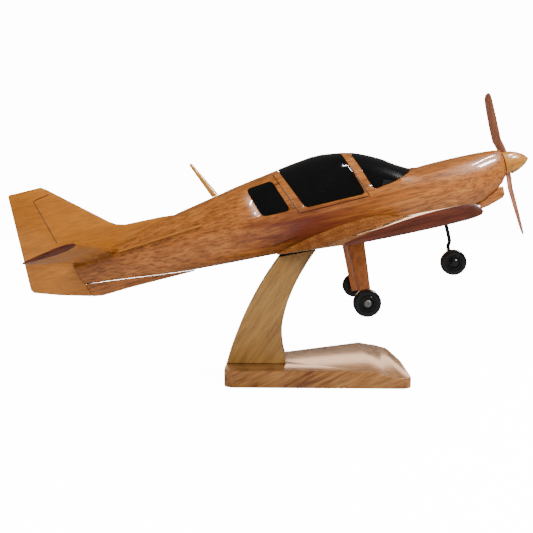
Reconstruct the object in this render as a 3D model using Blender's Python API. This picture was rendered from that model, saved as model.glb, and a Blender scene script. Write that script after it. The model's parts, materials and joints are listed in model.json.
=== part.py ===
# Carved mahogany desk model of a light two-seat aircraft, on a curved wooden stand.
# Metres, +Z up. The origin is on the base's underside, on the model's centre plane; +X is the nose, +Y is port.
import math

import bmesh
import bpy
from mathutils import Vector

mm = 0.001
gap = 0.3 * mm                      # clearance between pieces that touch

# stand
base_back = -53 * mm
base_front = 51.5 * mm
base_near_edge = -32.5 * mm         # straight starboard edge
base_far_rear = 20 * mm             # port edge at the back
base_far_front = 64 * mm            # port edge where it is widest
base_thickness = 9.4 * mm
base_corner = 7 * mm
toe_start = 29.5 * mm               # where the top starts to slope down to the front
toe_thickness = 5.6 * mm
upright_width = 26 * mm
upright_height = 73.2 * mm          # to the middle of its slanted top
upright_top_length = 21.4 * mm
upright_top_slope = math.radians(11)
upright_top_x = -11.9 * mm          # middle of its slanted top
upright_foot_back = -52.7 * mm
upright_foot_front = -18.5 * mm
felt_thickness = 0.8 * mm
pin_radius = 1.5 * mm
pin_in_wood = 9 * mm
pin_in_belly = 8 * mm

# aircraft, in a level frame: x = 0 at the propeller, aft is negative
nose_up = math.radians(13.5)
cabin_half_width = 24 * mm
cabin_top = 29.8 * mm
belly = -21.8 * mm
tail_end = -262 * mm
tail_cut_x = -255.4 * mm            # the fuselage ends on a slanted line through this point
tail_cut_z = -11 * mm
tail_cut_slope = 0.31
nose_face = -3.4 * mm
hub_x = -1.0 * mm                   # middle of the propeller's hub
saddle_x = -129.2 * mm              # the line under the fuselage that sits over the stand's top
saddle_z = -22.0 * mm
pin_places = {"rear": -137.3 * mm, "front": -129 * mm}
glass_depth = 1.2 * mm

wing_half_span = 213 * mm
wing_front = -67 * mm
wing_sweep = 1.7 * mm               # how far back the leading edge is at the tip
wing_root_bottom = -22.4 * mm
wing_root_chord = 62 * mm
wing_tip_chord = 44 * mm
wing_root_thickness = 8.5 * mm
wing_tip_thickness = 4.4 * mm
wing_dihedral = math.radians(4.0)
fillet_chord = 11 * mm
fillet_thickness = 4 * mm
dowel_radius = 1.6 * mm

tail_half_span = 71 * mm
tail_root_chord = 30 * mm
tail_tip_chord = 29.3 * mm
tail_root_front = -229.5 * mm
tail_tip_front = -235 * mm
tail_root_thickness = 3.6 * mm
tail_tip_thickness = 2.8 * mm
tail_root_height = 3.4 * mm         # of the leading edge
tail_tip_height = 12.4 * mm
tail_incidence = math.radians(6.3)
fin_height = 49.7 * mm
fin_thickness = 4.0 * mm

wheel_radius = 7.5 * mm
wheel_width = 5.0 * mm
wheel_bore = 1.25 * mm
main_wheel_x = -99 * mm
main_wheel_height = -54 * mm
half_track = 42.5 * mm
leg_foot = 36.5 * mm                # middle of the leg beside the wheel
leg_top_half_width = 24.5 * mm
leg_top_length = 9.5 * mm
leg_rake = 2.4 * mm                 # how far the leg's top is ahead of the wheel
leg_foot_length = 5.6 * mm
leg_thickness = 5 * mm
screw_radius = 0.9 * mm
nose_wheel_x = -42.2 * mm
nose_wheel_height = -48.8 * mm
wire_radius = 1.1 * mm
wire_offset = 4.2 * mm              # the wire runs down on the port side of the nose wheel

spinner_radius = 7.1 * mm
spinner_length = 14.8 * mm
hub_radius = 5.2 * mm
hub_thickness = 3.0 * mm
blade_length = 42 * mm
blade_chord = 7.6 * mm
blade_offset = 0.25                 # the blade's middle line is this share of its chord off the hub's
blade_pitch = math.radians(31)
blade_rest_turn = math.radians(7)   # the blades stop a little off vertical
shaft_radius = 0.9 * mm

# x, top, bottom, half width, height of the widest line
fuselage_stations = [
    (nose_face, 8.5 * mm, -7.4 * mm, 7.4 * mm, 0.2 * mm),
    (-6.2 * mm, 9.0 * mm, -10.6 * mm, 9.8 * mm, -1.4 * mm),
    (-11 * mm, 9.5 * mm, -14.2 * mm, 12.4 * mm, -3.0 * mm),
    (-19.5 * mm, 10.0 * mm, -18.2 * mm, 16.2 * mm, -4.2 * mm),
    (-32 * mm, 10.3 * mm, -20.4 * mm, 19.5 * mm, -5.0 * mm),
    (-46 * mm, 10.2 * mm, -21.2 * mm, 22.0 * mm, -5.0 * mm),
    (-57 * mm, 10.8 * mm, -21.6 * mm, 23.3 * mm, -5.0 * mm),
    (-70.5 * mm, 19.6 * mm, belly, cabin_half_width, -4.5 * mm),
    (-84.4 * mm, 26.4 * mm, belly, cabin_half_width, -4.0 * mm),
    (-97 * mm, 29.0 * mm, belly, cabin_half_width, -4.0 * mm),
    (-109.3 * mm, cabin_top, belly, cabin_half_width, -4.0 * mm),
    (-132.9 * mm, 26.7 * mm, -20.5 * mm, 23.0 * mm, -4.0 * mm),
    (-150.3 * mm, 24.1 * mm, -19.7 * mm, 20.6 * mm, -3.5 * mm),
    (-164.7 * mm, 21.5 * mm, -19.2 * mm, 18.2 * mm, -3.0 * mm),
    (-190.5 * mm, 16.8 * mm, -18.0 * mm, 13.8 * mm, -1.8 * mm),
    (-206 * mm, 13.6 * mm, -16.7 * mm, 11.2 * mm, -1.0 * mm),
    (-222 * mm, 9.8 * mm, -14.9 * mm, 8.4 * mm, -0.8 * mm),
    (-238 * mm, 5.4 * mm, -13.2 * mm, 5.8 * mm, -1.4 * mm),
    (tail_end, 0.4 * mm, -11.2 * mm, 2.7 * mm, -3.0 * mm),
]

mahogany = (0.43, 0.16, 0.042)
dark_mahogany = (0.20, 0.055, 0.02)
black_gloss = (0.006, 0.006, 0.007)
felt_black = (0.012, 0.011, 0.012)
nickel = (0.62, 0.60, 0.56)
brass = (0.75, 0.52, 0.20)
beech = (0.55, 0.34, 0.16)


def make_material(name, colour, roughness, metallic=0.0):
    material = bpy.data.materials.new(name)
    material.use_nodes = True
    shader = material.node_tree.nodes["Principled BSDF"]
    shader.inputs["Base Color"].default_value = (*colour, 1)
    shader.inputs["Roughness"].default_value = roughness
    shader.inputs["Metallic"].default_value = metallic
    return material


def add_object(name, bm, finish, parent=None, guide=False, smooth=30):
    bmesh.ops.recalc_face_normals(bm, faces=bm.faces[:])
    mesh = bpy.data.meshes.new(name)
    bm.to_mesh(mesh)
    bm.free()
    mesh.shade_smooth()
    mesh.set_sharp_from_angle(angle=math.radians(smooth))
    item = bpy.data.objects.new(name, mesh)
    bpy.context.scene.collection.objects.link(item)
    item.parent = parent
    if guide:
        item.hide_render = True
        item.display_type = "WIRE"
    else:
        mesh.materials.append(make_material(name, *finish))
    return item


def add_boolean(item, cutter, operation="DIFFERENCE"):
    modifier = item.modifiers.new(operation.title() + " " + cutter.name, "BOOLEAN")
    modifier.operation = operation
    modifier.solver = "EXACT"
    modifier.object = cutter


def loft(rings):
    bm = bmesh.new()
    loops = [[bm.verts.new(point) for point in ring] for ring in rings]
    count = len(loops[0])
    for first, second in zip(loops, loops[1:]):
        for i in range(count):
            j = (i + 1) % count
            bm.faces.new((first[i], first[j], second[j], second[i]))
    bm.faces.new(loops[0][::-1])
    bm.faces.new(loops[-1])
    return bm


def prism(outline, low, high):
    # outline holds (x, z) points; the solid runs across the centre plane from low to high
    return loft([[Vector((x, y, z)) for x, z in outline] for y in (low, high)])


def circle(centre, axis, radius, sides):
    turn = Vector((0, 0, 1)).rotation_difference(Vector(axis))
    angles = [2 * math.pi * i / sides for i in range(sides)]
    flat = [Vector((radius * math.cos(a), radius * math.sin(a), 0)) for a in angles]
    return [Vector(centre) + turn @ point for point in flat]


def turned(profile, centre, axis, sides):
    # profile holds (distance along the axis, radius) pairs from one end to the other
    direction = Vector(axis).normalized()
    rings = [circle(Vector(centre) + direction * d, direction, r, sides) for d, r in profile]
    return loft(rings)


def ring_solid(profile, centre, axis, sides):
    # a turned piece with a bore: the profile closes on itself
    bm = turned(profile, centre, axis, sides)
    caps = [face for face in bm.faces if len(face.verts) == sides]
    edges = [edge for face in caps for edge in face.edges]
    bmesh.ops.delete(bm, geom=caps, context="FACES_ONLY")
    bmesh.ops.bridge_loops(bm, edges=edges)
    return bm


def grow(outline, distance):
    # moves each side of a convex outline outwards
    count = len(outline)
    area = sum(outline[i - 1][0] * outline[i][1] - outline[i][0] * outline[i - 1][1] for i in range(count))
    sign = 1 if area > 0 else -1
    result = []
    for i in range(count):
        before = Vector(outline[i]) - Vector(outline[i - 1])
        after = Vector(outline[(i + 1) % count]) - Vector(outline[i])
        first = Vector((before.y, -before.x)).normalized() * sign
        second = Vector((after.y, -after.x)).normalized() * sign
        push = (first + second) / (1 + first.dot(second))
        result.append(tuple(Vector(outline[i]) + push * distance))
    return result


def round_corners(outline, radius, steps=4):
    result = []
    count = len(outline)
    for i in range(count):
        corner = Vector(outline[i])
        before = Vector(outline[i - 1]) - corner
        after = Vector(outline[(i + 1) % count]) - corner
        reach = min(radius, 0.45 * before.length, 0.45 * after.length)
        start = corner + before.normalized() * reach
        end = corner + after.normalized() * reach
        for step in range(steps + 1):
            t = step / steps
            result.append(tuple(start * (1 - t) ** 2 + corner * 2 * t * (1 - t) + end * t ** 2))
    return result


def smooth_value(before, first, second, after, t):
    return 0.5 * (2 * first + (second - before) * t + (2 * before - 5 * first + 4 * second - after) * t ** 2
                  + (3 * first - before - 3 * second + after) * t ** 3)


def fuselage_rings(offset, steps=2, sides=36):
    stations = fuselage_stations
    rows = []
    for i in range(len(stations) - 1):
        around = [stations[max(i - 1, 0)], stations[i], stations[i + 1], stations[min(i + 2, len(stations) - 1)]]
        for step in range(steps):
            t = step / steps
            row = [smooth_value(*values, t) for values in zip(*around)]
            row[0] = stations[i][0] * (1 - t) + stations[i + 1][0] * t
            rows.append(row)
    rows.append(list(stations[-1]))
    rows[0][0] += offset
    rows[-1][0] -= offset
    return [fuselage_ring(row, offset, sides) for row in rows]


def fuselage_ring(row, offset, sides):
    x, top, bottom, half_width, middle = row
    ring = []
    for i in range(sides):
        angle = 2 * math.pi * i / sides
        sine = math.sin(angle)
        cosine = math.cos(angle)
        power = 2 / 2.25 if sine > 0 else 2 / 2.7
        height = (top + offset - middle) if sine > 0 else (middle - bottom + offset)
        y = (half_width + offset) * math.copysign(abs(cosine) ** power, cosine)
        z = middle + height * math.copysign(abs(sine) ** power, sine)
        ring.append(Vector((x, y, z)))
    return ring


def fuselage_guide(name, offset, parent):
    return add_object(name, loft(fuselage_rings(offset)), None, parent, guide=True)


def wing_bottom(y):
    return wing_root_bottom + (y - cabin_half_width) * math.tan(wing_dihedral)


def aerofoil(front, chord, thickness, y, height, upper_share, tilt=0.0, count=9, bluntness=1.0):
    def depth(s):
        full = 2.969 * math.sqrt(s) - 1.26 * s - 3.516 * s ** 2 + 2.843 * s ** 3 - 1.036 * s ** 4
        return full ** bluntness if s < 0.3 else full
    shares = [0.5 * (1 - math.cos(math.pi * i / count)) for i in range(count + 1)]
    edge = 0.35 * mm
    upper = [(s, upper_share * thickness * depth(s) + edge * min(1, 12 * s)) for s in shares]
    lower = [(s, -(1 - upper_share) * thickness * depth(s) - edge * min(1, 12 * s)) for s in shares]
    ring = []
    for s, z in upper[::-1] + lower[1:]:
        x = -s * chord
        ring.append(Vector((front + x * math.cos(tilt) - z * math.sin(tilt), y,
                            height + x * math.sin(tilt) + z * math.cos(tilt))))
    return ring


def wing_ring(y, side, trim=0.0):
    share = (y - cabin_half_width) / (wing_half_span - cabin_half_width)
    blend = math.exp(-max(y - 21 * mm, 0) / (9 * mm))
    chord = wing_root_chord + (wing_tip_chord - wing_root_chord) * share + fillet_chord * blend
    thickness = wing_root_thickness + (wing_tip_thickness - wing_root_thickness) * share
    thickness = thickness + fillet_thickness * blend - 2 * trim
    front = wing_front - wing_sweep * share - trim
    height = wing_bottom(y) + 0.28 * thickness
    bluntness = 1 - 0.6 * max(share, 0)
    return aerofoil(front, chord - 2 * trim, thickness, side * y, height, 0.72, 0.0, 13, bluntness)


def tail_ring(y, side, trim=0.0):
    share = y / tail_half_span
    front = tail_root_front + (tail_tip_front - tail_root_front) * share - trim
    chord = tail_root_chord + (tail_tip_chord - tail_root_chord) * share - 2 * trim
    thickness = tail_root_thickness + (tail_tip_thickness - tail_root_thickness) * share - 2 * trim
    height = tail_root_height + (tail_tip_height - tail_root_height) * share
    return aerofoil(front, chord, thickness, side * y, height, 0.5, tail_incidence, 7)


# ---- stand ----

def make_base(parent):
    flare = base_far_rear + 3 * mm
    plan = [(base_back, base_near_edge), (base_front, base_near_edge), (base_front, 17 * mm),
            (base_front - 4 * mm, base_far_front - 7 * mm), (base_front - 11.5 * mm, base_far_front),
            (-20 * mm, flare), (base_back, base_far_rear)]
    plan = round_corners(plan, base_corner, 5)
    rings = [[Vector((x, y, z)) for x, y in plan] for z in (0, base_thickness)]
    item = add_object("base_plinth", loft(rings), (mahogany, 0.25), parent)
    wide = 2 * base_far_front
    drop = base_thickness - toe_thickness
    slope = [(toe_start, base_thickness), (toe_start + 7 * mm, toe_thickness + 0.45 * drop),
             (toe_start + 14.5 * mm, toe_thickness + 0.12 * drop), (base_front + 1 * mm, toe_thickness),
             (base_front + 1 * mm, 2 * base_thickness), (toe_start, 2 * base_thickness)]
    add_boolean(item, add_object("toe_cutter", prism(slope, -wide, wide), None, parent, guide=True))
    return item


def upright_top():
    middle = Vector((upright_top_x, 0, upright_height))
    half = Vector((math.cos(upright_top_slope), 0, math.sin(upright_top_slope))) * upright_top_length / 2
    return middle - half, middle + half


def edge_curve(foot, top, lean, share, steps=10):
    # one curved edge of the upright, from its foot to its top
    bend = Vector((foot.x + lean, 0, foot.z + share * (top.z - foot.z)))
    points = [foot * (1 - i / steps) ** 2 + bend * 2 * (i / steps) * (1 - i / steps) + top * (i / steps) ** 2
              for i in range(steps + 1)]
    return [(point.x, point.z) for point in points]


def make_upright(parent):
    back, front = upright_top()
    foot = base_thickness + gap
    rear_edge = edge_curve(Vector((upright_foot_back, 0, foot)), back, 8 * mm, 0.5)
    front_edge = edge_curve(Vector((upright_foot_front, 0, foot)), front, -9.3 * mm, 0.435)
    body = prism(rear_edge + front_edge[::-1], -upright_width / 2, upright_width / 2)
    return add_object("stand_upright", body, (mahogany, 0.25), parent)


def make_felt(parent):
    back, front = upright_top()
    up = Vector((-math.sin(upright_top_slope), 0, math.cos(upright_top_slope)))
    corners = [back + up * gap, front + up * gap, front + up * (gap + felt_thickness),
               back + up * (gap + felt_thickness)]
    outline = [(corner.x, corner.z) for corner in corners]
    return add_object("felt_pad", prism(outline, -upright_width / 2, upright_width / 2), (felt_black, 0.9), parent)


def make_pins(saddle, upright, felt, fuselage):
    for name, x in pin_places.items():
        bottom = (x, 0, saddle_z - pin_in_wood)
        length = pin_in_wood + pin_in_belly
        pin = turned([(0, pin_radius), (length - 0.5 * mm, pin_radius), (length, pin_radius - 0.5 * mm)],
                     bottom, (0, 0, 1), 16)
        add_object("locating_pin_" + name, pin, (nickel, 0.3, 1.0), saddle)
        hole = turned([(-gap, pin_radius + gap), (length + 1 * mm, pin_radius + gap)], bottom, (0, 0, 1), 16)
        cutter = add_object("pin_hole_" + name, hole, None, saddle, guide=True)
        for item in (upright, felt, fuselage):
            add_boolean(item, cutter)


def make_base_screws(parent, base, upright):
    middle = 0.5 * (upright_foot_back + upright_foot_front)
    spacing = 0.5 * (upright_foot_front - upright_foot_back)
    head_depth = 2.6 * mm
    length = base_thickness + 12 * mm
    for name, x in (("rear", middle - spacing / 2), ("front", middle + spacing / 2)):
        place = (x, 0, 0.8 * mm)
        shape = [(0, 3.4 * mm), (head_depth - 0.2 * mm, 1.6 * mm), (length - 2 * mm, 1.6 * mm), (length, 0.3 * mm)]
        add_object("base_screw_" + name, turned(shape, place, (0, 0, 1), 16), (nickel, 0.35, 1.0), parent)
        hole = [(-2 * mm, 3.4 * mm + gap), (0, 3.4 * mm + gap), (head_depth, 1.6 * mm + gap),
                (length + 1 * mm, 1.6 * mm + gap)]
        cutter = add_object("base_screw_hole_" + name, turned(hole, place, (0, 0, 1), 16), None, parent, guide=True)
        add_boolean(base, cutter)
        add_boolean(upright, cutter)


# ---- body and glazing ----

def tail_cut(z, shift=0.0):
    return (tail_cut_x - (z - tail_cut_z) * tail_cut_slope + shift, z)


def make_fuselage(rig):
    item = add_object("fuselage", loft(fuselage_rings(0)), (mahogany, 0.2), rig)
    behind = [tail_cut(-40 * mm), tail_cut(40 * mm), (tail_end - 30 * mm, 40 * mm), (tail_end - 30 * mm, -40 * mm)]
    wide = cabin_half_width
    add_boolean(item, add_object("tail_cutter", prism(behind, -wide, wide), None, rig, guide=True))
    return item


def glass_outlines():
    high = cabin_top + 6 * mm
    canopy = [(-118.9 * mm, 2.6 * mm), (-85.2 * mm, 2.5 * mm), (-94.9 * mm, high), (-133 * mm, high)]
    shield = [(-80 * mm, 3.7 * mm), (-68 * mm, 5.2 * mm), (-56 * mm, 9.2 * mm), (-50 * mm, high), (-89.8 * mm, high)]
    rear = [(-148.9 * mm, 20 * mm), (-143.2 * mm, 3.2 * mm), (-127.5 * mm, 3.1 * mm), (-134.1 * mm, 21.3 * mm)]
    return canopy, shield, rear


def make_glass(rig, fuselage):
    wide = 2 * cabin_half_width
    core = fuselage_guide("glass_core", -glass_depth, rig)
    pocket_core = fuselage_guide("pocket_core", -glass_depth - gap, rig)
    canopy, shield, rear = glass_outlines()
    panels = (("canopy_glass", canopy, -wide, wide), ("windshield", shield, -wide, wide),
              ("rear_window_left", rear, 0, wide), ("rear_window_right", rear, -wide, 0))
    for name, outline, low, high in panels:
        shape = round_corners(outline, 2.5 * mm)
        panel = add_object(name, loft(fuselage_rings(0.1 * mm)), (black_gloss, 0.05), rig)
        add_boolean(panel, add_object(name + "_edge", prism(shape, low, high), None, rig, guide=True), "INTERSECT")
        add_boolean(panel, core)
        pocket = add_object(name + "_pocket", prism(grow(shape, gap), low, high), None, rig, guide=True)
        add_boolean(pocket, pocket_core)
        add_boolean(fuselage, pocket)


def make_chin_scoop(rig, clear):
    outline = [(-7.0 * mm, -12.2 * mm), (-7.2 * mm, -16.6 * mm), (-8.6 * mm, -18.4 * mm), (-18 * mm, -21.2 * mm),
               (-28 * mm, -22.4 * mm), (-38 * mm, -21.9 * mm), (-38 * mm, -18 * mm), (-14 * mm, -12.2 * mm)]
    item = add_object("chin_scoop", prism(outline, -8 * mm, 8 * mm), (mahogany, 0.2), rig)
    add_boolean(item, clear)
    mouth = [(-6 * mm, -13.6 * mm), (-6 * mm, -16.8 * mm), (-11 * mm, -16.8 * mm), (-11 * mm, -13.6 * mm)]
    add_boolean(item, add_object("scoop_mouth", prism(mouth, -6 * mm, 6 * mm), None, rig, guide=True))


def make_fin(rig, fuselage):
    low = -4.5 * mm
    outline = [(-193.5 * mm, 15.9 * mm), (-202.5 * mm, 16.7 * mm), (-224 * mm, 17.3 * mm), (-229 * mm, 18.6 * mm),
               (-233 * mm, 21.2 * mm), (-264.5 * mm, fin_height - 1.6 * mm), (-267 * mm, fin_height),
               (-285.8 * mm, fin_height), (-286.7 * mm, fin_height - 0.9 * mm), (-287.8 * mm, -7.3 * mm), (-286.4 * mm, -9.6 * mm),
               (-271.6 * mm, -14.5 * mm), tail_cut(-19.4 * mm, -gap), tail_cut(low, -gap),
               (-224 * mm, 3.5 * mm), (-207 * mm, 9.5 * mm), (-197 * mm, 12.5 * mm)]
    item = add_object("fin_and_rudder", prism(outline, -fin_thickness / 2, fin_thickness / 2), (mahogany, 0.2), rig)
    thick = fin_thickness / 2 + gap
    slot = [(-193.1 * mm, 60 * mm), (-270 * mm, 60 * mm), (-270 * mm, low - 3.1 * mm - gap),
            (-224 * mm, 3.5 * mm - gap), (-207 * mm, 9.5 * mm - gap), (-196.8 * mm, 12.1 * mm),
            (-193.1 * mm, 15.5 * mm)]
    cutter = add_object("fin_slot", prism(slot, -thick, thick), None, rig, guide=True)
    add_boolean(fuselage, cutter)
    return item


def make_ventral_fin(rig, clear):
    outline = [(-185 * mm, -14 * mm), tail_cut(-8 * mm, -0.1 * mm), tail_cut(-19.6 * mm), (-247 * mm, -20.5 * mm),
               (-230 * mm, -19.6 * mm), (-191 * mm, -18.9 * mm)]
    item = add_object("ventral_fin", prism(outline, -1.3 * mm, 1.3 * mm), (mahogany, 0.2), rig)
    add_boolean(item, clear)
    return item


def make_antenna(rig, clear):
    foot = Vector((-166.6 * mm, 0, 17.5 * mm))
    tip = Vector((-178 * mm, 0, 42.4 * mm))
    length = (tip - foot).length
    shape = [(0, 2.2 * mm), (length - 1 * mm, 1.0 * mm), (length, 0.6 * mm)]
    item = add_object("antenna", turned(shape, foot, tip - foot, 12), (beech, 0.3), rig)
    add_boolean(item, clear)


# ---- flying surfaces ----

def make_wings(rig, clear, fuselage):
    ys = [18 * mm, 22 * mm, 26 * mm, 31 * mm, 38 * mm, 50 * mm, 90 * mm, 150 * mm, wing_half_span - 1 * mm]
    for name, side in (("left", 1), ("right", -1)):
        rings = [wing_ring(y, side) for y in ys] + [wing_ring(wing_half_span, side, 0.7 * mm)]
        wing = add_object("wing_" + name, loft(rings), (mahogany, 0.2), rig)
        add_boolean(wing, clear)
        for place, x in (("front", wing_front - 14 * mm), ("rear", wing_front - 34 * mm)):
            start = Vector((x, side * 14 * mm, belly + 5.2 * mm))
            direction = Vector((0, side, math.tan(wing_dihedral)))
            make_dowel("wing_dowel_" + place + "_" + name, start, direction, 26 * mm, rig, (fuselage, wing))


def make_dowel(name, start, direction, length, rig, hosts):
    shape = [(0, dowel_radius), (length, dowel_radius)]
    add_object(name, turned(shape, start, direction, 12), (beech, 0.5), rig)
    hole = [(-gap, dowel_radius + gap), (length + gap, dowel_radius + gap)]
    cutter = add_object(name + "_hole", turned(hole, start, direction, 12), None, rig, guide=True)
    for host in hosts:
        add_boolean(host, cutter)


def make_tailplane(rig, clear):
    thick = fin_thickness / 2 + gap
    for name, side in (("left", 1), ("right", -1)):
        ys = [thick, 12 * mm, tail_half_span - 0.8 * mm]
        rings = [tail_ring(y, side) for y in ys] + [tail_ring(tail_half_span, side, 0.5 * mm)]
        item = add_object("tailplane_" + name, loft(rings), (mahogany, 0.2), rig)
        add_boolean(item, clear)
        start = -178 * mm
        end = tail_root_front + gap + 0.6 * mm
        height = tail_root_height - 0.5 * mm
        strake = [[Vector((x, side * 1 * mm, z - 0.6 * mm)), Vector((x, side * w, z - 0.6 * mm)),
                   Vector((x, side * w, z + 0.6 * mm)), Vector((x, side * 1 * mm, z + 0.6 * mm))]
                  for x, w, z in ((start, 16.8 * mm, height + 3.6 * mm), (end, 12.5 * mm, height))]
        plate = add_object("tail_strake_" + name, loft(strake), (mahogany, 0.2), rig)
        add_boolean(plate, clear)


# ---- landing gear ----

def make_wheel(name, centre, rig):
    half = wheel_width / 2
    r = wheel_radius
    shape = [(-half, wheel_bore), (-half, 0.42 * r), (-0.7 * half, 0.5 * r), (-0.7 * half, 0.68 * r),
             (-half, 0.74 * r), (-half, 0.84 * r), (-0.55 * half, r), (0.55 * half, r), (half, 0.84 * r),
             (half, 0.74 * r), (0.7 * half, 0.68 * r), (0.7 * half, 0.5 * r), (half, 0.42 * r), (half, wheel_bore)]
    bm = ring_solid(shape, (0, 0, 0), (0, 1, 0), 28)
    wheel = add_object(name, bm, (black_gloss, 0.12), rig, smooth=40)
    wheel.location = centre
    return wheel


def make_main_gear(rig):
    x = main_wheel_x
    z = main_wheel_height
    for name, side in (("left", 1), ("right", -1)):
        make_wheel("main_wheel_" + name, (x, side * half_track, z), rig)
        half = leg_thickness / 2
        rings = []
        for y, length, shift in ((leg_top_half_width, leg_top_length, leg_rake), (leg_foot, leg_foot_length, 0)):
            ring = []
            for dx, dy in ((-0.5, -1), (0.5, -1), (0.5, 1), (-0.5, 1)):
                place = y + dy * half
                height = z - 2.6 * mm
                if y == leg_top_half_width:
                    height = min(wing_bottom(max(place, 0)), belly) - 3 * gap
                ring.append(Vector((x + shift + dx * length, side * place, height)))
            rings.append(ring)
        leg = add_object("main_leg_" + name, loft(rings), (dark_mahogany, 0.2), rig)
        inner = half_track - wheel_width / 2 - gap
        washer = [(0, screw_radius + gap), (0, 2.2 * mm), (0.5 * mm, 2.2 * mm), (0.5 * mm, screw_radius + gap)]
        place = (x, side * (inner - 0.5 * mm), z)
        add_object("axle_washer_" + name, ring_solid(washer, place, (0, side, 0), 16), (nickel, 0.3, 1.0), rig)
        head = half_track + wheel_width / 2 + gap
        tip = leg_foot - 2 * mm
        shape = [(0, 0.2 * mm), (1 * mm, screw_radius), (head - tip, screw_radius), (head - tip, 1.9 * mm),
                 (head - tip + 0.5 * mm, 1.9 * mm), (head - tip + 1 * mm, 1.3 * mm)]
        screw = turned(shape, (x, side * tip, z), (0, side, 0), 16)
        add_object("axle_screw_" + name, screw, (nickel, 0.25, 1.0), rig)
        hole = [(0, screw_radius + gap), (30 * mm, screw_radius + gap)]
        start = (x, side * (tip - gap), z)
        cutter = add_object("axle_hole_" + name, turned(hole, start, (0, side, 0), 16), None, rig, guide=True)
        add_boolean(leg, cutter)
        trim = [(x - 20 * mm, -60 * mm), (x + 20 * mm, -60 * mm), (x + 20 * mm, 0), (x - 20 * mm, 0)]
        outside = sorted((side * (inner - 0.5 * mm - gap), side * 60 * mm))
        add_boolean(leg, add_object("leg_trim_" + name, prism(trim, *outside), None, rig, guide=True))


def make_nose_gear(rig, fuselage):
    x = nose_wheel_x
    z = nose_wheel_height
    bend = [Vector((x + 0.6 * mm, 0, belly + 8 * mm)), Vector((x + 0.6 * mm, 0, z + 13 * mm)),
            Vector((x + 0.2 * mm, 0.2 * mm, z + 11.8 * mm)), Vector((x - 0.4 * mm, wire_offset - 0.4 * mm, z + 9.4 * mm)),
            Vector((x - 0.4 * mm, wire_offset, z + 8.2 * mm)), Vector((x, wire_offset, z + 1.6 * mm)),
            Vector((x, wire_offset - 0.5 * mm, z + 0.4 * mm)), Vector((x, wire_offset - 1.6 * mm, z)),
            Vector((x, -wheel_width / 2 - 2.0 * mm, z))]
    curve = bpy.data.curves.new("nose_leg_wire", "CURVE")
    curve.dimensions = "3D"
    curve.bevel_depth = wire_radius
    curve.bevel_resolution = 3
    curve.use_fill_caps = True
    spline = curve.splines.new("POLY")
    spline.points.add(len(bend) - 1)
    for point, place in zip(spline.points, bend):
        point.co = (*place, 1)
    curve.materials.append(make_material("nose_leg_wire", black_gloss, 0.3, 0.6))
    wire = bpy.data.objects.new("nose_leg_wire", curve)
    bpy.context.scene.collection.objects.link(wire)
    wire.parent = rig
    hole = turned([(-gap, wire_radius + gap), (12 * mm, wire_radius + gap)],
                  (x + 0.6 * mm, 0, belly + 8 * mm), (0, 0, -1), 12)
    cutter = add_object("wire_hole", hole, None, rig, guide=True)
    add_boolean(fuselage, cutter)
    collar = [(0, wire_radius + gap), (0, 2.2 * mm), (1.6 * mm, 1.9 * mm), (1.6 * mm, wire_radius + gap)]
    place = (x + 0.6 * mm, 0, belly - gap)
    add_object("nose_leg_collar", ring_solid(collar, place, (0, 0, -1), 14), (beech, 0.5), rig)
    make_wheel("nose_wheel", (x, 0, z), rig)
    start = (x, -wheel_width / 2 - 2.4 * mm, z)
    cap = turned([(0, 1.6 * mm), (0.4 * mm, 2.1 * mm), (2.1 * mm, 2.1 * mm)], start, (0, 1, 0), 16)
    item = add_object("nose_wheel_cap", cap, (black_gloss, 0.12), rig)
    bore = turned([(0.1 * mm, wire_radius + gap), (3 * mm, wire_radius + gap)], start, (0, 1, 0), 16)
    add_boolean(item, add_object("cap_bore", bore, None, rig, guide=True))


# ---- propeller ----

def make_spinner(hub):
    start = -0.2 * mm - hub_thickness / 2
    steps = 9
    shape = []
    for i in range(steps + 1):
        t = i / steps
        shape.append((start + t * spinner_length, max(spinner_radius * (1 - t ** 1.8) ** 0.7, 0.35 * mm)))
    item = add_object("spinner", turned(shape, (0, 0, 0), (1, 0, 0), 28), (mahogany, 0.2), hub)
    recess = [(start - 1 * mm, hub_radius + gap), (hub_thickness / 2 + gap, hub_radius + gap),
              (hub_thickness / 2 + gap, 2.6 * mm), (hub_thickness / 2 + 2.2 * mm, 2.6 * mm)]
    add_boolean(item, add_object("spinner_recess", turned(recess, (0, 0, 0), (1, 0, 0), 24), None, hub, guide=True))
    reach = hub_thickness / 2 + 1 * mm
    slot = [(start - 1 * mm, -12 * mm), (reach, -12 * mm), (reach, 12 * mm), (start - 1 * mm, 12 * mm)]
    width = 0.5 * blade_chord * 0.8 + gap
    add_boolean(item, add_object("blade_slot", prism(slot, -width, width), None, hub, guide=True))


def blade_ring(z, side):
    share = z / blade_length
    chord = blade_chord * (0.56 + 1.15 * share - 0.9 * share ** 2)
    if share > 0.93:
        chord = chord * math.sqrt(max(1 - ((share - 0.93) / 0.075) ** 2, 0.1))
    thickness = 2.4 * mm * (1 - 0.72 * share)
    pitch = blade_pitch * (1.35 - 0.5 * share)
    clear_of_nose = (1.7 - share) * min(1, max(0, (share - 0.18) / 0.15))
    ring = []
    for i in range(14):
        angle = 2 * math.pi * i / 14
        along = chord * (0.5 * math.cos(angle) + blade_offset * clear_of_nose)
        across = 0.5 * thickness * math.sin(angle)
        x = -along * math.sin(pitch) + across * math.cos(pitch)
        y = along * math.cos(pitch) + across * math.sin(pitch)
        ring.append(Vector((x, side * y, side * z)))
    return ring


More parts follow.
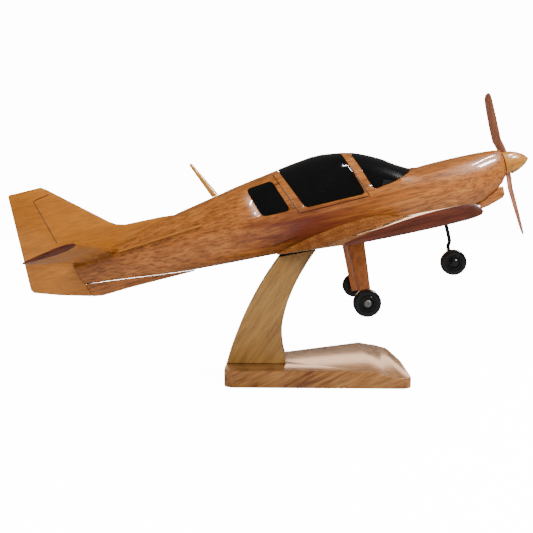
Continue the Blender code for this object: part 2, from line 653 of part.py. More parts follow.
def make_propeller(hub):
    half = hub_thickness / 2
    body = turned([(-half, hub_radius), (half, hub_radius)], (0, 0, 0), (1, 0, 0), 24)
    item = add_object("propeller", body, (dark_mahogany, 0.2), hub)
    shares = (0.09, 0.15, 0.23, 0.34, 0.48, 0.62, 0.76, 0.88, 0.95, 0.985, 1.0)
    for name, side in (("upper", 1), ("lower", -1)):
        rings = [blade_ring(share * blade_length, side) for share in shares]
        add_boolean(item, add_object("blade_" + name, loft(rings), None, hub, guide=True), "UNION")
    bore = turned([(-5 * mm, shaft_radius + gap), (5 * mm, shaft_radius + gap)], (0, 0, 0), (1, 0, 0), 16)
    add_boolean(item, add_object("propeller_bore", bore, None, hub, guide=True))


def make_shaft(rig, fuselage):
    point = hub_x - 16 * mm
    head = 16 * mm + hub_thickness / 2 + gap
    shape = [(0, 0.2 * mm), (1 * mm, shaft_radius), (head, shaft_radius), (head, 2 * mm), (head + 1 * mm, 1.6 * mm)]
    screw = turned(shape, (point, 0, 0), (1, 0, 0), 16)
    add_object("propeller_screw", screw, (nickel, 0.3, 1.0), rig)
    washer_back = nose_face + gap
    washer = [(0, shaft_radius + gap), (0, 3 * mm), (0.35 * mm, 3 * mm), (0.35 * mm, shaft_radius + gap)]
    add_object("propeller_washer", ring_solid(washer, (washer_back, 0, 0), (1, 0, 0), 20), (brass, 0.3, 1.0), rig)
    tube = [(0, shaft_radius + gap), (0, 2.2 * mm), (7 * mm, 2.2 * mm), (7 * mm, shaft_radius + gap)]
    start = nose_face - 7 * mm
    add_object("shaft_bushing", ring_solid(tube, (start, 0, 0), (1, 0, 0), 20), (brass, 0.3, 1.0), rig)
    hole = [(point - gap, shaft_radius + gap), (start - gap, shaft_radius + gap), (start - gap, 2.2 * mm + gap),
            (5 * mm, 2.2 * mm + gap)]
    cutter = add_object("shaft_hole", turned(hole, (0, 0, 0), (1, 0, 0), 20), None, rig, guide=True)
    add_boolean(fuselage, cutter)


def make_empty(name, parent=None, location=(0, 0, 0), rotation=(0, 0, 0)):
    empty = bpy.data.objects.new(name, None)
    bpy.context.scene.collection.objects.link(empty)
    empty.parent = parent
    empty.location = location
    empty.rotation_euler = rotation
    return empty


def main():
    for item in list(bpy.data.objects):
        bpy.data.objects.remove(item, do_unlink=True)
    stand = make_empty("stand")
    tilted = Vector((saddle_x * math.cos(nose_up) - saddle_z * math.sin(nose_up), 0,
                     saddle_x * math.sin(nose_up) + saddle_z * math.cos(nose_up)))
    place = Vector((upright_top_x, 0, upright_height)) - tilted
    rig = make_empty("aircraft", location=place, rotation=(0, -nose_up, 0))
    saddle = make_empty("saddle", stand, location=place, rotation=(0, -nose_up, 0))
    hub = make_empty("propeller_hub", rig, (hub_x, 0, 0), (-blade_rest_turn, 0, 0))
    base = make_base(stand)
    upright = make_upright(stand)
    felt = make_felt(stand)
    fuselage = make_fuselage(rig)
    clear = fuselage_guide("fuselage_clearance", gap, rig)
    make_fin(rig, fuselage)
    make_base_screws(stand, base, upright)
    make_pins(saddle, upright, felt, fuselage)
    make_glass(rig, fuselage)
    make_chin_scoop(rig, clear)
    make_ventral_fin(rig, clear)
    make_antenna(rig, clear)
    make_wings(rig, clear, fuselage)
    make_tailplane(rig, clear)
    make_main_gear(rig)
    make_nose_gear(rig, fuselage)
    make_spinner(hub)
    make_propeller(hub)
    make_shaft(rig, fuselage)


main()
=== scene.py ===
import json
import math

import bpy
from mathutils import Matrix, Vector


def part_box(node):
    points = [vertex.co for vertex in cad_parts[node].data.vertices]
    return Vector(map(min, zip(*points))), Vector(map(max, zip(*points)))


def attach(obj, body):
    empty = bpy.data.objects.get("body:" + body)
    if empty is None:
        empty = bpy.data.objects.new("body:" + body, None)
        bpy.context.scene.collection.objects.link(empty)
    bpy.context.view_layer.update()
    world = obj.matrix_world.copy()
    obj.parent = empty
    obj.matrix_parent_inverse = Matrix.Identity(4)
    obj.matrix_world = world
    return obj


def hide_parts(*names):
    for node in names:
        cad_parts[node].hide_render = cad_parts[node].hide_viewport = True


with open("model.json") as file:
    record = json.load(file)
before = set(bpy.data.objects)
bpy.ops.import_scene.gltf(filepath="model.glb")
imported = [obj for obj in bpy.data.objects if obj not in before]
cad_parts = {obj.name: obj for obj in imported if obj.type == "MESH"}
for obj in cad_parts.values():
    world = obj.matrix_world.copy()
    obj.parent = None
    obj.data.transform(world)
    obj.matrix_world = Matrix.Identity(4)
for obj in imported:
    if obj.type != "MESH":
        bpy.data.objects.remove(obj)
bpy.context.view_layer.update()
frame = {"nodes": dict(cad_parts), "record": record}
mm = 0.001

record = frame["record"]
joints = {joint["name"]: joint for joint in record["behaviour"]["joints"]}
slotOf = {entry["node"]: entry["material_slot"] for entry in record["subparts"]}
bodyOf = {node: body for body, names in record["behaviour"]["bodies"].items() for node in names}
hubPlace = Vector(joints["propeller_spin"]["pos_m"])
noseWay = Vector(joints["propeller_spin"]["axis"]).normalized()
noseUp = math.atan2(noseWay.z, noseWay.x)
# from the aircraft lying level, with its propeller at zero, to where it sits on the stand
toWorld = Matrix.Translation(hubPlace) @ Matrix.Rotation(-noseUp, 4, "Y")
print("frame loaded:", len(frame["nodes"]), "nodes, nose up", round(math.degrees(noseUp), 2))


cameraPlan = {"place": (-0.01623, -0.45592, 0.10527), "down": 5.09, "left": 1.72, "lens": 52.68}
# The two small boxes and the card behind give the highlights.
# The fills are soft light that reflections leave out.
lightPlan = [
    {"name": "windshieldBox", "place": (0.62, -0.32, 0.82), "aim": (0.04, -0.02, 0.117), "size": (0.20, 0.14),
     "power": 9.0, "shown": True},
    {"name": "cowlStrip", "place": (0.42, -0.06, 0.97), "aim": (0.09, -0.01, 0.125), "size": (0.34, 0.035),
     "power": 5.0, "shown": True},
    {"name": "cardBehind", "place": (0.35, 1.35, 0.34), "aim": (0.0, 0.0, 0.03), "size": (1.5, 0.22),
     "power": 4.6, "shown": True, "hex": "#ffd2ac"},
    {"name": "frontFill", "place": (-0.25, -1.3, 0.75), "aim": (0.0, 0.0, 0.1), "size": (0.9, 0.7),
     "power": 15.0, "shown": False},
    {"name": "noseFill", "place": (0.9, -1.2, 0.45), "aim": (0.05, 0.0, 0.1), "size": (0.7, 0.4),
     "power": 7.0, "shown": False},
    {"name": "backFill", "place": (0.2, 1.2, 0.9), "aim": (0.0, 0.0, 0.1), "size": (0.9, 0.7),
     "power": 6.0, "shown": False},
]
roomPlan = {"backdrop": 14.0, "fill": 0.55, "gloss": 0.07, "paper": 0.8, "paperInGloss": 0.12}


def linear(hexCode):
    values = [int(hexCode[i:i + 2], 16) / 255 for i in (1, 3, 5)]
    return tuple(v / 12.92 if v <= 0.04045 else ((v + 0.055) / 1.055) ** 2.4 for v in values) + (1.0,)


def addNode(tree, kind, settings=None, links=None):
    node = tree.nodes.new(kind)
    for key, value in (settings or {}).items():
        if key in node.inputs:
            node.inputs[key].default_value = value
        else:
            setattr(node, key, value)
    for key, source in (links or {}).items():
        tree.links.new(source, node.inputs[key])
    return node


def setCamera(plan):
    bpy.ops.object.camera_add(location=plan["place"])
    camera = bpy.context.object
    camera.name = "studioCamera"
    camera.rotation_euler = (math.radians(90 - plan["down"]), 0, math.radians(plan["left"]))
    camera.data.lens = plan["lens"]
    camera.data.clip_start = 0.01
    bpy.context.scene.camera = camera


def setLights(plans):
    for plan in plans:
        bpy.ops.object.light_add(type="AREA", location=plan["place"])
        lamp = bpy.context.object
        lamp.name = plan["name"]
        lamp.data.shape = "RECTANGLE"
        lamp.data.size, lamp.data.size_y = plan["size"]
        lamp.data.energy = plan["power"]
        lamp.data.color = linear(plan.get("hex", "#ffffff"))[:3]
        lamp.visible_glossy = plan["shown"]
        aim = Vector(plan["aim"]) - Vector(plan["place"])
        lamp.rotation_euler = aim.to_track_quat("-Z", "Y").to_euler()


def setRoom(plan):
    world = bpy.data.worlds.new("whiteStudio")
    world.use_nodes = True
    tree = world.node_tree
    ray = addNode(tree, "ShaderNodeLightPath")
    shine = addNode(tree, "ShaderNodeMapRange", {"To Min": plan["fill"], "To Max": plan["gloss"]},
                    {"Value": ray.outputs["Is Glossy Ray"]})
    seen = addNode(tree, "ShaderNodeMapRange", {"To Max": plan["backdrop"]},
                   {"Value": ray.outputs["Is Camera Ray"], "To Min": shine.outputs["Result"]})
    tree.links.new(seen.outputs["Result"], tree.nodes["Background"].inputs["Strength"])
    tree.nodes["Background"].inputs["Color"].default_value = (1, 1, 1, 1)
    bpy.context.scene.world = world


def layFloor(plan):
    bpy.ops.mesh.primitive_plane_add(size=8, location=(0, 0, 0))
    floor = bpy.context.object
    floor.name = "paleFloor"
    material = bpy.data.materials.new("whitePaperSweep")
    material.use_nodes = True
    tree = material.node_tree
    shader = tree.nodes["Principled BSDF"]
    shader.inputs["Roughness"].default_value = 1.0
    shader.inputs["Specular IOR Level"].default_value = 0.0
    shader.inputs["Emission Color"].default_value = (1, 1, 1, 1)
    ray = addNode(tree, "ShaderNodeLightPath")
    glow = addNode(tree, "ShaderNodeMapRange", {"To Max": plan["backdrop"]},
                   {"Value": ray.outputs["Is Camera Ray"]})
    paper = addNode(tree, "ShaderNodeMapRange", {"To Min": plan["paper"], "To Max": plan["paperInGloss"]},
                    {"Value": ray.outputs["Is Glossy Ray"]})
    tree.links.new(glow.outputs["Result"], shader.inputs["Emission Strength"])
    tree.links.new(paper.outputs["Result"], shader.inputs["Base Color"])
    floor.data.materials.append(material)


setCamera(cameraPlan)
setLights(lightPlan)
setRoom(roomPlan)
layFloor(roomPlan)
print("studio set")


def fillRamp(node, stops):
    ramp = node.color_ramp
    while len(ramp.elements) < len(stops):
        ramp.elements.new(0.5)
    for element, (place, hexCode) in zip(ramp.elements, stops):
        element.position = place
        element.color = linear(hexCode)


def newMaterial(name, sockets):
    material = bpy.data.materials.new(name)
    material.use_nodes = True
    tree = material.node_tree
    shader = tree.nodes["Principled BSDF"]
    for key, value in sockets.items():
        shader.inputs[key].default_value = value
    return material, tree, shader


def multiply(tree, colour, factor):
    mixed = addNode(tree, "ShaderNodeMix", {"data_type": "RGBA", "blend_type": "MULTIPLY"})
    mixed.inputs[0].default_value = 1.0
    tree.links.new(colour, mixed.inputs[6])
    tree.links.new(factor, mixed.inputs[7])
    return mixed.outputs[2]


# Mahogany, carved, sanded and sprayed with clear gloss lacquer: golden red-brown, with soft bands of growth,
# short dark pores along the grain and a sharp reflection in the lacquer over a softer one in the wood.
# band is the growth bands' width in millimetres, and stretch how many times longer than wide they are.
# Real pores are 0.2 mm wide; they are drawn 0.9 mm wide so that they show.
porePlan = {"long": 11.0, "wide": 0.9, "deep": 0.2}


def lacqueredMahogany(name, plan):
    material, tree, shader = newMaterial(name, {"Roughness": plan.get("roughness", 0.38), "IOR": 1.5,
                                                "Coat Weight": plan.get("coat", 1.0), "Coat IOR": 1.5,
                                                "Coat Roughness": plan.get("polish", 0.05)})
    turn = tuple(math.radians(angle) for angle in plan["turn"])
    place = addNode(tree, "ShaderNodeTexCoord")
    along = addNode(tree, "ShaderNodeMapping", {"Rotation": turn}, {"Vector": place.outputs["Object"]})
    band = plan.get("band", 5.0)
    bandScale = (1000 / (band * plan.get("stretch", 9)), 1000 / band, 1000 / band)
    wide = addNode(tree, "ShaderNodeMapping", {"Scale": bandScale}, {"Vector": along.outputs["Vector"]})
    bands = addNode(tree, "ShaderNodeTexNoise",
                    {"Scale": 1.0, "Detail": 4.0, "Roughness": 0.55, "Distortion": 0.4},
                    {"Vector": wide.outputs["Vector"]})
    across = 1000 / porePlan["wide"]
    fine = addNode(tree, "ShaderNodeMapping", {"Scale": (1000 / porePlan["long"], across, across)},
                   {"Vector": along.outputs["Vector"]})
    pores = addNode(tree, "ShaderNodeTexNoise", {"Scale": 1.0, "Detail": 3.0, "Roughness": 0.65},
                    {"Vector": fine.outputs["Vector"]})
    tone = addNode(tree, "ShaderNodeValToRGB", {}, {"Fac": bands.outputs["Fac"]})
    fillRamp(tone, plan["tones"])
    dark = addNode(tree, "ShaderNodeMapRange", {"From Min": 0.36, "From Max": 0.56,
                                                "To Min": 1.0 - plan.get("pores", 0.42), "To Max": 1.06},
                   {"Value": pores.outputs["Fac"]})
    colour = multiply(tree, tone.outputs["Color"], dark.outputs["Result"])
    if "heart" in plan:    # a patch of redder heartwood with soft ragged edges
        heart = plan["heart"]
        centre = toWorld @ Vector(heart["place"])
        sides = addNode(tree, "ShaderNodeMapping", {"Location": (-centre.x, 0, -centre.z)},
                        {"Vector": place.outputs["Object"]})
        level = addNode(tree, "ShaderNodeMapping", {"Rotation": (0, noseUp, 0)},
                        {"Vector": sides.outputs["Vector"]})
        size = addNode(tree, "ShaderNodeMapping", {"Scale": (1 / heart["length"], 0, 1 / heart["height"])},
                       {"Vector": level.outputs["Vector"]})
        away = addNode(tree, "ShaderNodeVectorMath", {"operation": "LENGTH"})
        tree.links.new(size.outputs["Vector"], away.inputs[0])
        ragged = addNode(tree, "ShaderNodeMath", {"operation": "ADD"})
        tree.links.new(away.outputs["Value"], ragged.inputs[0])
        tree.links.new(bands.outputs["Fac"], ragged.inputs[1])
        amount = addNode(tree, "ShaderNodeMapRange",
                         {"From Min": 0.75, "From Max": 1.5, "To Min": heart["strength"], "To Max": 0.0},
                         {"Value": ragged.outputs[0]})
        red = addNode(tree, "ShaderNodeMix", {"data_type": "RGBA"})
        tree.links.new(amount.outputs["Result"], red.inputs[0])
        tree.links.new(colour, red.inputs[6])
        red.inputs[7].default_value = linear(heart["hex"])
        colour = red.outputs[2]
    tree.links.new(colour, shader.inputs["Base Color"])
    bump = addNode(tree, "ShaderNodeBump",
                   {"Strength": plan.get("rough", 0.06), "Distance": porePlan["deep"] * mm},
                   {"Height": pores.outputs["Fac"]})
    tree.links.new(bump.outputs["Normal"], shader.inputs["Normal"])
    return material


# Black lacquer sprayed and polished, moulded ABS or enamel: near black, a sharp reflection, a trace of haze.
def blackFinish(name, plan):
    material, tree, shader = newMaterial(name, {"Roughness": plan["roughness"], "IOR": 1.5,
                                                "Coat Weight": plan.get("coat", 0.0), "Coat Roughness": 0.03})
    place = addNode(tree, "ShaderNodeTexCoord")
    haze = addNode(tree, "ShaderNodeTexNoise", {"Scale": 1000 / plan["grain"], "Detail": 2.0},
                   {"Vector": place.outputs["Object"]})
    tone = addNode(tree, "ShaderNodeValToRGB", {}, {"Fac": haze.outputs["Fac"]})
    fillRamp(tone, plan["tones"])
    tree.links.new(tone.outputs["Color"], shader.inputs["Base Color"])
    if "bump" in plan:
        bump = addNode(tree, "ShaderNodeBump", {"Strength": 0.5, "Distance": plan["bump"] * mm},
                       {"Height": haze.outputs["Fac"]})
        tree.links.new(bump.outputs["Normal"], shader.inputs["Normal"])
    return material


# Nickel plate over steel, and turned brass: satin metal, since fine turning marks blur its reflections.
def turnedMetal(name, plan):
    material, tree, shader = newMaterial(name, {"Metallic": 1.0, "Roughness": plan["roughness"]})
    place = addNode(tree, "ShaderNodeTexCoord")
    marks = addNode(tree, "ShaderNodeTexNoise", {"Scale": 1000 / plan["grain"], "Detail": 2.0},
                    {"Vector": place.outputs["Object"]})
    tone = addNode(tree, "ShaderNodeValToRGB", {}, {"Fac": marks.outputs["Fac"]})
    fillRamp(tone, plan["tones"])
    tree.links.new(tone.outputs["Color"], shader.inputs["Base Color"])
    return material


noseTurn = (0, math.degrees(noseUp), 0)
bodyTones = [(0.28, "#844a16"), (0.50, "#985820"), (0.72, "#a8682a")]
woodPlan = {
    "bodyMahogany": {"turn": noseTurn, "tones": bodyTones, "stretch": 30, "band": 2.6, "pores": 0.5,
                     "heart": {"place": (-0.121, 0, -0.008), "length": 0.046, "height": 0.014,
                               "strength": 0.9, "hex": "#5a2216"}},
    "finMahogany": {"turn": noseTurn,
                    "tones": [(0.30, "#94560f"), (0.70, "#a66518")], "pores": 0.2, "band": 8},
    "wingMahogany": {"turn": (0, 0, 90), "stretch": 24, "band": 3,
                     "tones": [(0.30, "#7a4418"), (0.50, "#965c28"), (0.70, "#a66c34")]},
    "endGrainMahogany": {"turn": noseTurn,
                         "tones": [(0.30, "#40180c"), (0.70, "#5e2a16")], "band": 3, "polish": 0.06},
    "legMahogany": {"turn": (0, 90, 0),
                    "tones": [(0.30, "#864a22"), (0.70, "#a66234")], "pores": 0.25, "band": 3},
    "bladeMahogany": {"turn": (0, 90, 0),
                      "tones": [(0.30, "#7a4630"), (0.70, "#9a6248")], "pores": 0.2, "band": 3},
    "standMahogany": {"turn": (0, 57, 0), "tones": [(0.30, "#805628"), (0.50, "#936a32"), (0.70, "#9e7640")],
                      "pores": 0.2, "band": 6, "roughness": 0.45, "coat": 0.5, "polish": 0.2},
    "baseMahogany": {"turn": (8, 27, 0), "tones": [(0.32, "#5e3414"), (0.5, "#8a5a2a"), (0.68, "#9c6c38")],
                     "pores": 0.3, "band": 2.6, "stretch": 16, "coat": 0.9, "polish": 0.14, "rough": 0.25},
    "spinnerMahogany": {"turn": noseTurn, "tones": [(0.30, "#96590f"), (0.70, "#b87c26")], "band": 3},
    "lacqueredBeech": {"turn": noseTurn,
                       "tones": [(0.30, "#a06614"), (0.70, "#b87a24")], "pores": 0.1, "band": 3},
    # dark brown of the burnt lines, also used for the strip of painted shade along the wing root
    "burntWoodAndPaintedShade": {"turn": noseTurn,
                  "tones": [(0.30, "#2a0c06"), (0.70, "#3c140a")], "coat": 0.3, "polish": 0.3},
}
blackPlan = {
    "blackLacquer": {"roughness": 0.12, "coat": 1.0, "grain": 12.0,
                     "tones": [(0.3, "#040404"), (0.8, "#070707")]},
    "blackMouldedAbs": {"roughness": 0.3, "coat": 1.0, "grain": 1.2,
                        "tones": [(0.3, "#050505"), (0.8, "#0b0b0c")]},
    "blackEnamel": {"roughness": 0.28, "grain": 1.0, "tones": [(0.3, "#070707"), (0.8, "#0f0f10")]},
    "woolFelt": {"roughness": 0.95, "grain": 0.5, "bump": 0.3, "tones": [(0.3, "#080606"), (0.8, "#160f0e")]},
}
metalPlan = {
    "nickelPlate": {"roughness": 0.45, "grain": 0.8, "tones": [(0.3, "#cfcbc2"), (0.8, "#e8e5de")]},
    "turnedBrass": {"roughness": 0.3, "grain": 0.8, "tones": [(0.3, "#b98e3c"), (0.8, "#d2a956")]},
}
materials = {name: lacqueredMahogany(name, plan) for name, plan in woodPlan.items()}
materials.update({name: blackFinish(name, plan) for name, plan in blackPlan.items()})
materials.update({name: turnedMetal(name, plan) for name, plan in metalPlan.items()})
finishOf = {
    "fuselage": "bodyMahogany", "chin_scoop": "bodyMahogany", "ventral_fin": "bodyMahogany",
    "fin_and_rudder": "finMahogany", "wing_left": "wingMahogany", "wing_right": "wingMahogany",
    "tailplane_left": "finMahogany", "tailplane_right": "finMahogany", "tail_strake_left": "finMahogany",
    "tail_strake_right": "finMahogany", "main_leg_left": "legMahogany", "main_leg_right": "legMahogany",
    "propeller": "bladeMahogany", "spinner": "spinnerMahogany", "base_plinth": "baseMahogany",
    "stand_upright": "standMahogany", "felt_pad": "woolFelt", "nose_leg_wire": "blackEnamel",
}
finishOfSlot = {"mahogany": "bodyMahogany", "beech": "lacqueredBeech", "black_gloss_glazing": "blackLacquer",
                "black_wheel": "blackMouldedAbs", "nickel_steel": "nickelPlate", "brass": "turnedBrass"}
print("materials made:", len(materials))


def deselectAll():
    if bpy.context.object and bpy.context.object.mode != "OBJECT":
        bpy.ops.object.mode_set(mode="OBJECT")
    bpy.ops.object.select_all(action="DESELECT")


def takeUp(piece):
    deselectAll()
    piece.select_set(True)
    bpy.context.view_layer.objects.active = piece


def applyAll(piece):
    takeUp(piece)
    for modifier in list(piece.modifiers):
        bpy.ops.object.modifier_apply(modifier=modifier.name)


def addBevel(piece, width, segments, angle):
    soften = piece.modifiers.new("soften", "BEVEL")
    soften.width = width
    soften.segments = segments
    soften.limit_method = "ANGLE"
    soften.angle_limit = math.radians(angle)
    applyAll(piece)


def smoothOff(piece, angle):
    takeUp(piece)
    bpy.ops.object.shade_smooth_by_angle(angle=math.radians(angle))


def dress(piece, node):
    piece.data.materials.clear()
    piece.data.materials.append(materials[finishOf.get(node) or finishOfSlot[slotOf[node]]])
    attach(piece, bodyOf[node])
    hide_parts(node)


def takeFaces(piece, test):
    # leaves the piece in edit mode with the faces selected whose middle and normal pass the test
    takeUp(piece)
    bpy.ops.object.mode_set(mode="EDIT")
    bpy.ops.mesh.select_mode(type="FACE")
    bpy.ops.mesh.select_all(action="DESELECT")
    bpy.ops.object.mode_set(mode="OBJECT")
    for face in piece.data.polygons:
        face.select = test(face.center, face.normal)
    bpy.ops.object.mode_set(mode="EDIT")


def carveCopy(node, plan):
    # the CAD piece's own faces, joined up, with its edges softened as sandpaper leaves them
    source = frame["nodes"][node]
    piece = source.copy()
    piece.data = source.data.copy()
    piece.name = node + "Carved"
    bpy.context.scene.collection.objects.link(piece)
    piece.parent = None
    piece.matrix_world = Matrix.Identity(4)
    takeUp(piece)
    bpy.ops.object.mode_set(mode="EDIT")
    bpy.ops.mesh.select_all(action="SELECT")
    bpy.ops.mesh.remove_doubles(threshold=0.00001)
    bpy.ops.mesh.dissolve_limited(angle_limit=math.radians(plan.get("flat", 0.6)))
    bpy.ops.object.mode_set(mode="OBJECT")
    if plan.get("soften"):
        addBevel(piece, plan["soften"] * mm, plan.get("segments", 2), plan.get("over", 40))
    smoothOff(piece, plan.get("smooth", 35))
    dress(piece, node)
    return piece


carvePlan = {
    "base_plinth": {"soften": 0.9, "segments": 3, "over": 30},
    "stand_upright": {"soften": 0.5, "segments": 2, "over": 50},
    "fin_and_rudder": {"soften": 0.6, "segments": 2, "over": 50},
    "wing_left": {"soften": 0.8, "segments": 3, "over": 45},
    "wing_right": {"soften": 0.8, "segments": 3, "over": 45},
    "tailplane_left": {"soften": 0.4, "segments": 2, "over": 45},
    "tailplane_right": {"soften": 0.4, "segments": 2, "over": 45},
    "main_leg_left": {"soften": 0.35, "segments": 2, "over": 45},
    "main_leg_right": {"soften": 0.35, "segments": 2, "over": 45},
    "chin_scoop": {"soften": 0.5, "segments": 2, "over": 45},
    "felt_pad": {"soften": 0.15, "segments": 2, "over": 45},
    "spinner": {"smooth": 40},
}
wheels = ("main_wheel_left", "main_wheel_right", "nose_wheel")
screws = {"axle_screw_left": 1, "axle_screw_right": -1}
carved = {}
for node in frame["nodes"]:
    if node not in wheels and node not in screws:
        carved[node] = carveCopy(node, carvePlan.get(node, {}))
print("carved pieces:", len(carved))


def showEndGrain(node, way):
    # the sawn tip of a wing shows end grain, which soaks up lacquer and goes dark
    piece = carved[node]
    piece.data.materials.append(materials["endGrainMahogany"])
    edge = max(abs(v.co.y) for v in piece.data.vertices)
    takeFaces(piece, lambda middle, normal: normal.y * way > 0.35 and abs(middle.y) > edge - 2.5 * mm)
    piece.active_material_index = 1
    bpy.ops.object.material_slot_assign()
    bpy.ops.object.mode_set(mode="OBJECT")


for node, way in (("wing_left", 1), ("wing_right", -1), ("tailplane_left", 1), ("tailplane_right", -1)):
    showEndGrain(node, way)


def addRound(name, radius, depth, place, way, sides):
    # a cylinder at its size and place, with its own position put into its mesh
    turn = Vector(way).to_track_quat("Z", "Y").to_euler()
    deselectAll()
    bpy.ops.mesh.primitive_cylinder_add(vertices=sides, radius=radius, depth=depth,
                                        location=place, rotation=turn)
    piece = bpy.context.object
    piece.name = name
    bpy.ops.object.transform_apply(location=True, rotation=True, scale=True)
    return piece


def pressSteps(piece, way, steps):
    # each step is how far the end faces go in towards the middle, and how far out, in millimetres
    takeFaces(piece, lambda middle, normal: abs(normal.dot(way)) > 0.99)
    for inward, outward in steps:
        bpy.ops.mesh.inset(thickness=inward * mm, depth=outward * mm)


# Moulded ABS wheel: round-shouldered tyre, groove, raised rim ring, dished disc and hub, and a bore.
wheelPlan = {"shoulder": 1.3, "sides": 72, "bore": 1.25,
             "steps": [(1.5, 0.0), (0.22, -0.32), (0.35, 0.0), (0.22, 0.32), (0.55, 0.0), (0.35, -0.75),
                       (1.1, 0.0), (0.2, 0.35), (0.45, 0.0), (0.15, 0.3)]}


def makeWheel(node, plan):
    low, high = (Vector(corner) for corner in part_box(node))
    middle = (low + high) / 2
    radius = (high.x - low.x) / 2
    way = Vector((0, 1, 0))
    piece = addRound(node + "Moulded", radius, high.y - low.y, middle, way, plan["sides"])
    addBevel(piece, plan["shoulder"] * mm, 5, 60)
    pressSteps(piece, way, plan["steps"])
    reach = radius - plan["shoulder"] * mm - sum(step[0] for step in plan["steps"]) * mm
    bpy.ops.mesh.inset(thickness=reach - plan["bore"] * mm, depth=0.0)
    bpy.ops.mesh.delete(type="ONLY_FACE")
    bpy.ops.object.mode_set(mode="OBJECT")
    rims = {}
    for face in piece.data.polygons:
        for edge in face.edge_keys:
            rims[edge] = rims.get(edge, 0) + 1
    takeUp(piece)
    bpy.ops.object.mode_set(mode="EDIT")
    bpy.ops.mesh.select_mode(type="EDGE")
    bpy.ops.mesh.select_all(action="DESELECT")
    bpy.ops.object.mode_set(mode="OBJECT")
    for edge in piece.data.edges:
        edge.select = rims[edge.key] == 1
    bpy.ops.object.mode_set(mode="EDIT")
    bpy.ops.mesh.bridge_edge_loops()
    bpy.ops.mesh.select_all(action="SELECT")
    bpy.ops.mesh.normals_make_consistent(inside=False)
    bpy.ops.object.mode_set(mode="OBJECT")
    addBevel(piece, 0.13 * mm, 3, 40)
    smoothOff(piece, 40)
    dress(piece, node)


for node in wheels:
    makeWheel(node, wheelPlan)
print("wheels moulded")


# Nickel-plated machine screw: pan head with a pressed cross, plain shank into the leg.
screwPlan = {"headRadius": 1.9, "headDepth": 1.0, "shankRadius": 0.9, "crossLength": 2.0, "crossWidth": 0.62,
             "crossDepth": 0.6}


def makeScrew(node, side, plan):
    low, high = (Vector(corner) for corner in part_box(node))
    middle = (low + high) / 2
    way = Vector((0, side, 0))
    outer = high.y if side > 0 else low.y
    inner = low.y if side > 0 else high.y
    head = Vector((middle.x, outer - side * plan["headDepth"] * mm / 2, middle.z))
    piece = addRound(node + "Plated", plan["headRadius"] * mm, plan["headDepth"] * mm, head, way, 40)
    takeFaces(piece, lambda spot, normal: normal.dot(way) < -0.99)
    bpy.ops.mesh.inset(thickness=(plan["headRadius"] - plan["shankRadius"]) * mm, depth=0.0)
    reach = abs(outer - inner) - plan["headDepth"] * mm
    bpy.ops.mesh.extrude_region_move(TRANSFORM_OT_translate={"value": (0, -side * (reach - 0.5 * mm), 0)})
    bpy.ops.mesh.extrude_region_move(TRANSFORM_OT_translate={"value": (0, -side * 0.5 * mm, 0)})
    bpy.ops.transform.resize(value=(0.4, 1, 0.4), center_override=(middle.x, inner, middle.z))
    bpy.ops.object.mode_set(mode="OBJECT")
    addBevel(piece, 0.35 * mm, 3, 60)
    slots = ((plan["crossLength"], plan["crossWidth"]), (plan["crossWidth"], plan["crossLength"]))
    for index, scale in enumerate(slots):
        deselectAll()
        bpy.ops.mesh.primitive_cube_add(size=1, location=(middle.x, outer, middle.z))
        arm = bpy.context.object
        arm.scale = (scale[0] * mm, 2 * plan["crossDepth"] * mm, scale[1] * mm)
        bpy.ops.object.transform_apply(location=True, rotation=True, scale=True)
        cut = piece.modifiers.new("cross" + str(index), "BOOLEAN")
        cut.operation = "DIFFERENCE"
        cut.solver = "EXACT"
        cut.object = arm
        applyAll(piece)
        bpy.data.objects.remove(arm, do_unlink=True)
    smoothOff(piece, 35)
    dress(piece, node)


for node, side in screws.items():
    makeScrew(node, side, screwPlan)
print("axle screws plated")
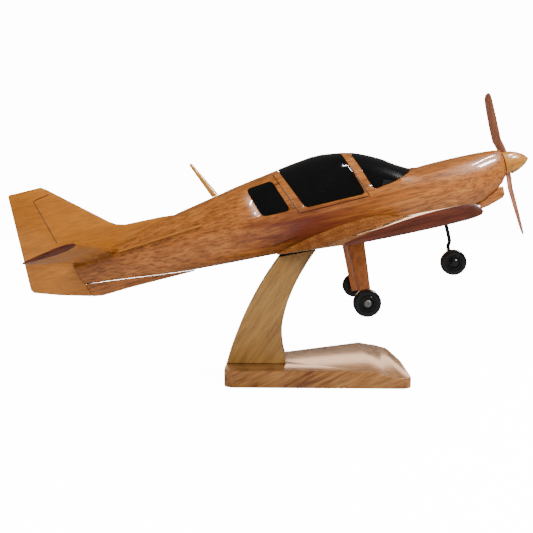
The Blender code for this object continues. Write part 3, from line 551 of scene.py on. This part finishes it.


# Lines burnt into the wood with a hot wire, and at the wing root a dark strip of painted shade where the wing
# meets the fuselage. Points are x and z of the level aircraft in millimetres.
linePlan = {
    "canopyFrameLine": {"on": "fuselage", "radius": 0.33,
                        "points": [(-131.6, 24.6), (-121.6, 0.3), (-82.0, 0.6), (-91.0, 25.6)]},
    "rudderLine": {"on": "fin_and_rudder", "radius": 0.3,
                   "points": [(-261.6, 44.6), (-271.6, 42.8), (-264.2, 15.6)]},
    # painted shade: a dark strip laid along the wing root's joint with the fuselage, standing in for the
    # shade in that gap; it is no burnt line
    "wingRootPaintedShade": {"on": "fuselage", "radius": 0.4,
                     "points": [(-141.0, -14.2), (-135.0, -13.4), (-126.0, -12.0)]},
}


lineStep = 1.5          # mm between the places where a line is laid on the wood
lineReach = 60.0        # mm from the centre plane to where the search for the wood starts
lineSunk = 0.6          # share of a line's radius that its middle lies under the surface


def layBurntLineOrShadeStrip(name, plan, side):
    # lays a dark tube along the surface: a burnt line, or, for the wing root, a strip of painted shade
    host = carved[plan["on"]]
    path = []
    for (x0, z0), (x1, z1) in zip(plan["points"], plan["points"][1:]):
        count = max(2, int(math.hypot(x1 - x0, z1 - z0) / lineStep))
        for i in range(count + 1):
            x = x0 + (x1 - x0) * i / count
            z = z0 + (z1 - z0) * i / count
            start = toWorld @ Vector((x * mm, side * lineReach * mm, z * mm))
            found, spot, normal, face = host.ray_cast(start, Vector((0, -side, 0)), distance=lineReach * mm)
            if found and (not path or (spot - path[-1]).length > 0.2 * mm):
                path.append(spot - normal * lineSunk * plan["radius"] * mm)
    deselectAll()
    bpy.ops.mesh.primitive_plane_add(size=1 * mm, location=path[0])
    line = bpy.context.object
    line.name = name
    bpy.ops.object.transform_apply(location=True, rotation=True, scale=True)
    bpy.ops.object.mode_set(mode="EDIT")
    bpy.ops.mesh.select_mode(type="VERT")
    bpy.ops.mesh.select_all(action="SELECT")
    bpy.ops.mesh.merge(type="CENTER")
    for before, after in zip(path, path[1:]):
        bpy.ops.mesh.extrude_region_move(TRANSFORM_OT_translate={"value": after - before})
    bpy.ops.object.mode_set(mode="OBJECT")
    bpy.ops.object.convert(target="CURVE")
    line.data.bevel_depth = plan["radius"] * mm
    line.data.bevel_resolution = 2
    line.data.use_fill_caps = True
    bpy.ops.object.convert(target="MESH")
    line = bpy.context.object
    smoothOff(line, 60)
    line.data.materials.clear()
    line.data.materials.append(materials["burntWoodAndPaintedShade"])
    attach(line, "aircraft")


for name, plan in linePlan.items():
    layBurntLineOrShadeStrip(name + "Right", plan, -1)
    layBurntLineOrShadeStrip(name + "Left", plan, 1)
# the count takes in the two strips of painted shade at the wing root
print("burnt lines drawn:", 2 * len(linePlan))
